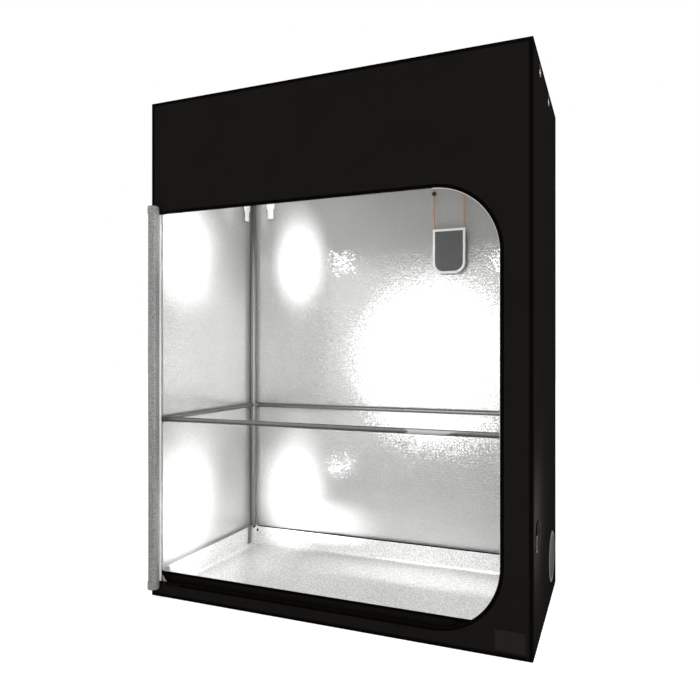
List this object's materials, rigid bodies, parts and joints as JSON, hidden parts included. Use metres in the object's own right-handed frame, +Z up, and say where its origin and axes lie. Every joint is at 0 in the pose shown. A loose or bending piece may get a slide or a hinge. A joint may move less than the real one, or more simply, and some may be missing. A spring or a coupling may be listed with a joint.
{
  "type": "indoor grow tent",
  "caption": "Tall rectangular indoor grow tent: steel tube frame, black cloth walls with silver lining, D-shaped front door rolled up at its jamb, vent and duct port.",
  "frame": {"origin": "on the floor, under the middle of the outline of the tent with its rolled door and duct cuff", "axes": "+Z up, the door side faces -Y, and +X runs from the door's rolled jamb side to the side with the vent and duct port"},
  "size_m": [1.208, 0.6384, 1.584],
  "materials": {
    "black_fabric": "satin coated cloth",
    "silver_lining": "metallised film with a fine diamond pattern",
    "zinc_tube": "bright zinc",
    "white_webbing": "woven",
    "white_plastic": "moulded",
    "black_plastic": "moulded",
    "grey_pouch_cloth": "woven",
    "vent_netting": "fine net",
    "bright_eyelet": "bright",
    "tan_cord": "braided",
    "olive_cord": "braided",
    "brown_patch": "plain, bare"
  },
  "bodies": {
    "tent": {"floor_panel": "black_fabric", "roof_panel": "black_fabric", "left_panel": "black_fabric", "right_panel": "black_fabric", "back_panel": "black_fabric", "front_panel": "black_fabric", "zip_track": "black_fabric", "vent_mesh": "vent_netting", "duct_sleeve": "black_fabric", "sleeve_drawcord": "olive_cord", "drawcord_knot": "olive_cord", "eyelet_front": "bright_eyelet", "eyelet_back": "bright_eyelet", "front_patch": "brown_patch", "pole_front_left": "zinc_tube", "pole_front_right": "zinc_tube", "pole_back_left": "zinc_tube", "pole_back_right": "zinc_tube", "corner_lower_front_left": "zinc_tube", "corner_lower_front_right": "zinc_tube", "corner_lower_back_left": "zinc_tube", "corner_lower_back_right": "zinc_tube", "corner_upper_front_left": "zinc_tube", "corner_upper_front_right": "zinc_tube", "corner_upper_back_left": "zinc_tube", "corner_upper_back_right": "zinc_tube", "middle_collar_front_left": "zinc_tube", "middle_collar_front_right": "zinc_tube", "middle_collar_back_left": "zinc_tube", "middle_collar_back_right": "zinc_tube", "bottom_bar_front": "zinc_tube", "bottom_bar_back": "zinc_tube", "bottom_bar_left": "zinc_tube", "bottom_bar_right": "zinc_tube", "middle_bar_front_left": "zinc_tube", "middle_bar_front_right": "zinc_tube", "middle_bar_back_left": "zinc_tube", "middle_bar_back_right": "zinc_tube", "middle_bar_left": "zinc_tube", "middle_bar_right": "zinc_tube", "top_bar_front": "zinc_tube", "top_bar_back": "zinc_tube", "top_bar_left": "zinc_tube", "top_bar_right": "zinc_tube"},
    "rolled_door": {"door_roll": "silver_lining", "door_tie_upper": "silver_lining", "door_tie_lower": "silver_lining"},
    "upper_slider": {"zip_slider_upper": "black_plastic"},
    "lower_slider": {"zip_slider_lower": "black_plastic"},
    "left_hanger": {"hanging_bar_left": "zinc_tube"},
    "right_hanger": {"hanging_bar_right": "zinc_tube"},
    "side_strap": {"lamp_strap_side": "white_webbing"},
    "side_buckle": {"strap_buckle_side": "white_plastic"},
    "rear_strap": {"lamp_strap_rear": "white_webbing"},
    "rear_buckle": {"strap_buckle_rear": "white_plastic"},
    "hanging_pouch": {"pouch": "grey_pouch_cloth", "pouch_cord_left": "tan_cord", "pouch_cord_right": "tan_cord"},
    "cord_lock": {"pouch_cord_lock": "black_plastic"},
    "tray": {"floor_tray": "silver_lining"}
  },
  "joints": [
    {"name": "door_swing", "type": "hinge", "parent": "tent", "child": "rolled_door", "pos_m": [-0.576, -0.28115, 0.6374], "axis": [0, 0, 1], "range_deg": [0, 34]},
    {"name": "upper_slider_run", "type": "slide", "parent": "tent", "child": "upper_slider", "axis": [1, 0, 0], "range_m": [0, 0.82]},
    {"name": "lower_slider_run", "type": "slide", "parent": "tent", "child": "lower_slider", "axis": [1, 0, 0], "range_m": [0, 0.82]},
    {"name": "left_hanger_slide", "type": "slide", "parent": "tent", "child": "left_hanger", "axis": [1, 0, 0], "range_m": [-0.2, 0.35]},
    {"name": "right_hanger_slide", "type": "slide", "parent": "tent", "child": "right_hanger", "axis": [1, 0, 0], "range_m": [-0.07, 0.14]},
    {"name": "side_strap_swing", "type": "hinge", "parent": "tent", "child": "side_strap", "pos_m": [-0.5882, 0.25475, 1.5682], "axis": [0, -1, 0], "range_deg": [0, 36]},
    {"name": "side_buckle_slide", "type": "slide", "parent": "side_strap", "child": "side_buckle", "axis": [0, 0, 1], "range_m": [-0.03, 0.12]},
    {"name": "rear_strap_swing", "type": "hinge", "parent": "tent", "child": "rear_strap", "pos_m": [-0.509, 0.30335, 1.5682], "axis": [-1, 0, 0], "range_deg": [0, 60]},
    {"name": "rear_buckle_slide", "type": "slide", "parent": "rear_strap", "child": "rear_buckle", "axis": [0, 0, 1], "range_m": [-0.03, 0.12]},
    {"name": "pouch_swing", "type": "hinge", "parent": "tent", "child": "hanging_pouch", "pos_m": [0.2308, 0.30335, 1.5682], "axis": [-1, 0, 0], "range_deg": [0, 45]},
    {"name": "cord_lock_slide", "type": "slide", "parent": "hanging_pouch", "child": "cord_lock", "axis": [0, 0, 1], "range_m": [-0.1, 0.15]},
    {"name": "tray_lift", "type": "slide", "parent": "tent", "child": "tray", "axis": [0, 0, 1], "range_m": [0, 0.15]}
  ]
}
